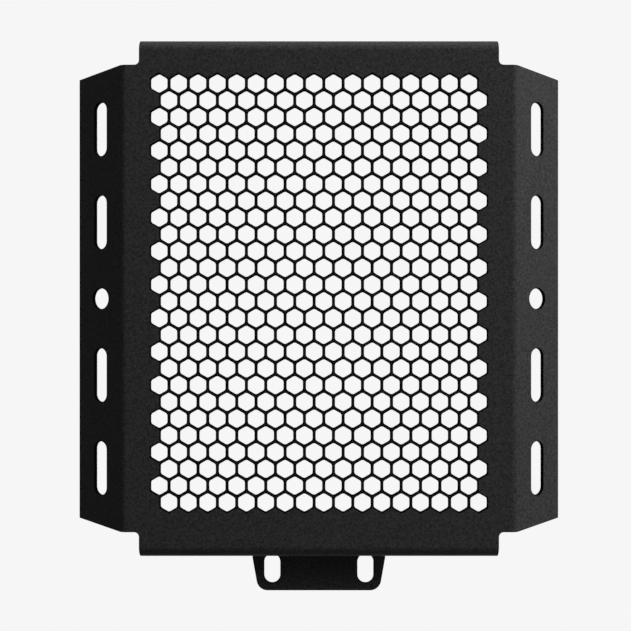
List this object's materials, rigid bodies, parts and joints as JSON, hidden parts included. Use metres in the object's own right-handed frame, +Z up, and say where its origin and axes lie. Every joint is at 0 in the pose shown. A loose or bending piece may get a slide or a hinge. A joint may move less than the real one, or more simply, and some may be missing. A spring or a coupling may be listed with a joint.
{
  "type": "motorcycle radiator guard",
  "caption": "Black folded sheet guard with a honeycomb of hexagonal holes, wings folded back and slotted for screws, flanges above and below, and a slotted tab at the foot.",
  "frame": {"origin": "on the back of the tab, midway between its two slots", "axes": "+Z up, +Y to the back, towards the radiator; the face looks to -Y and +X is on its right"},
  "size_m": [0.2468, 0.0195, 0.2804],
  "materials": {
    "guard": "satin black powder coat with a fine grain"
  },
  "bodies": {
    "root": {"guard": "guard"}
  },
  "joints": []
}
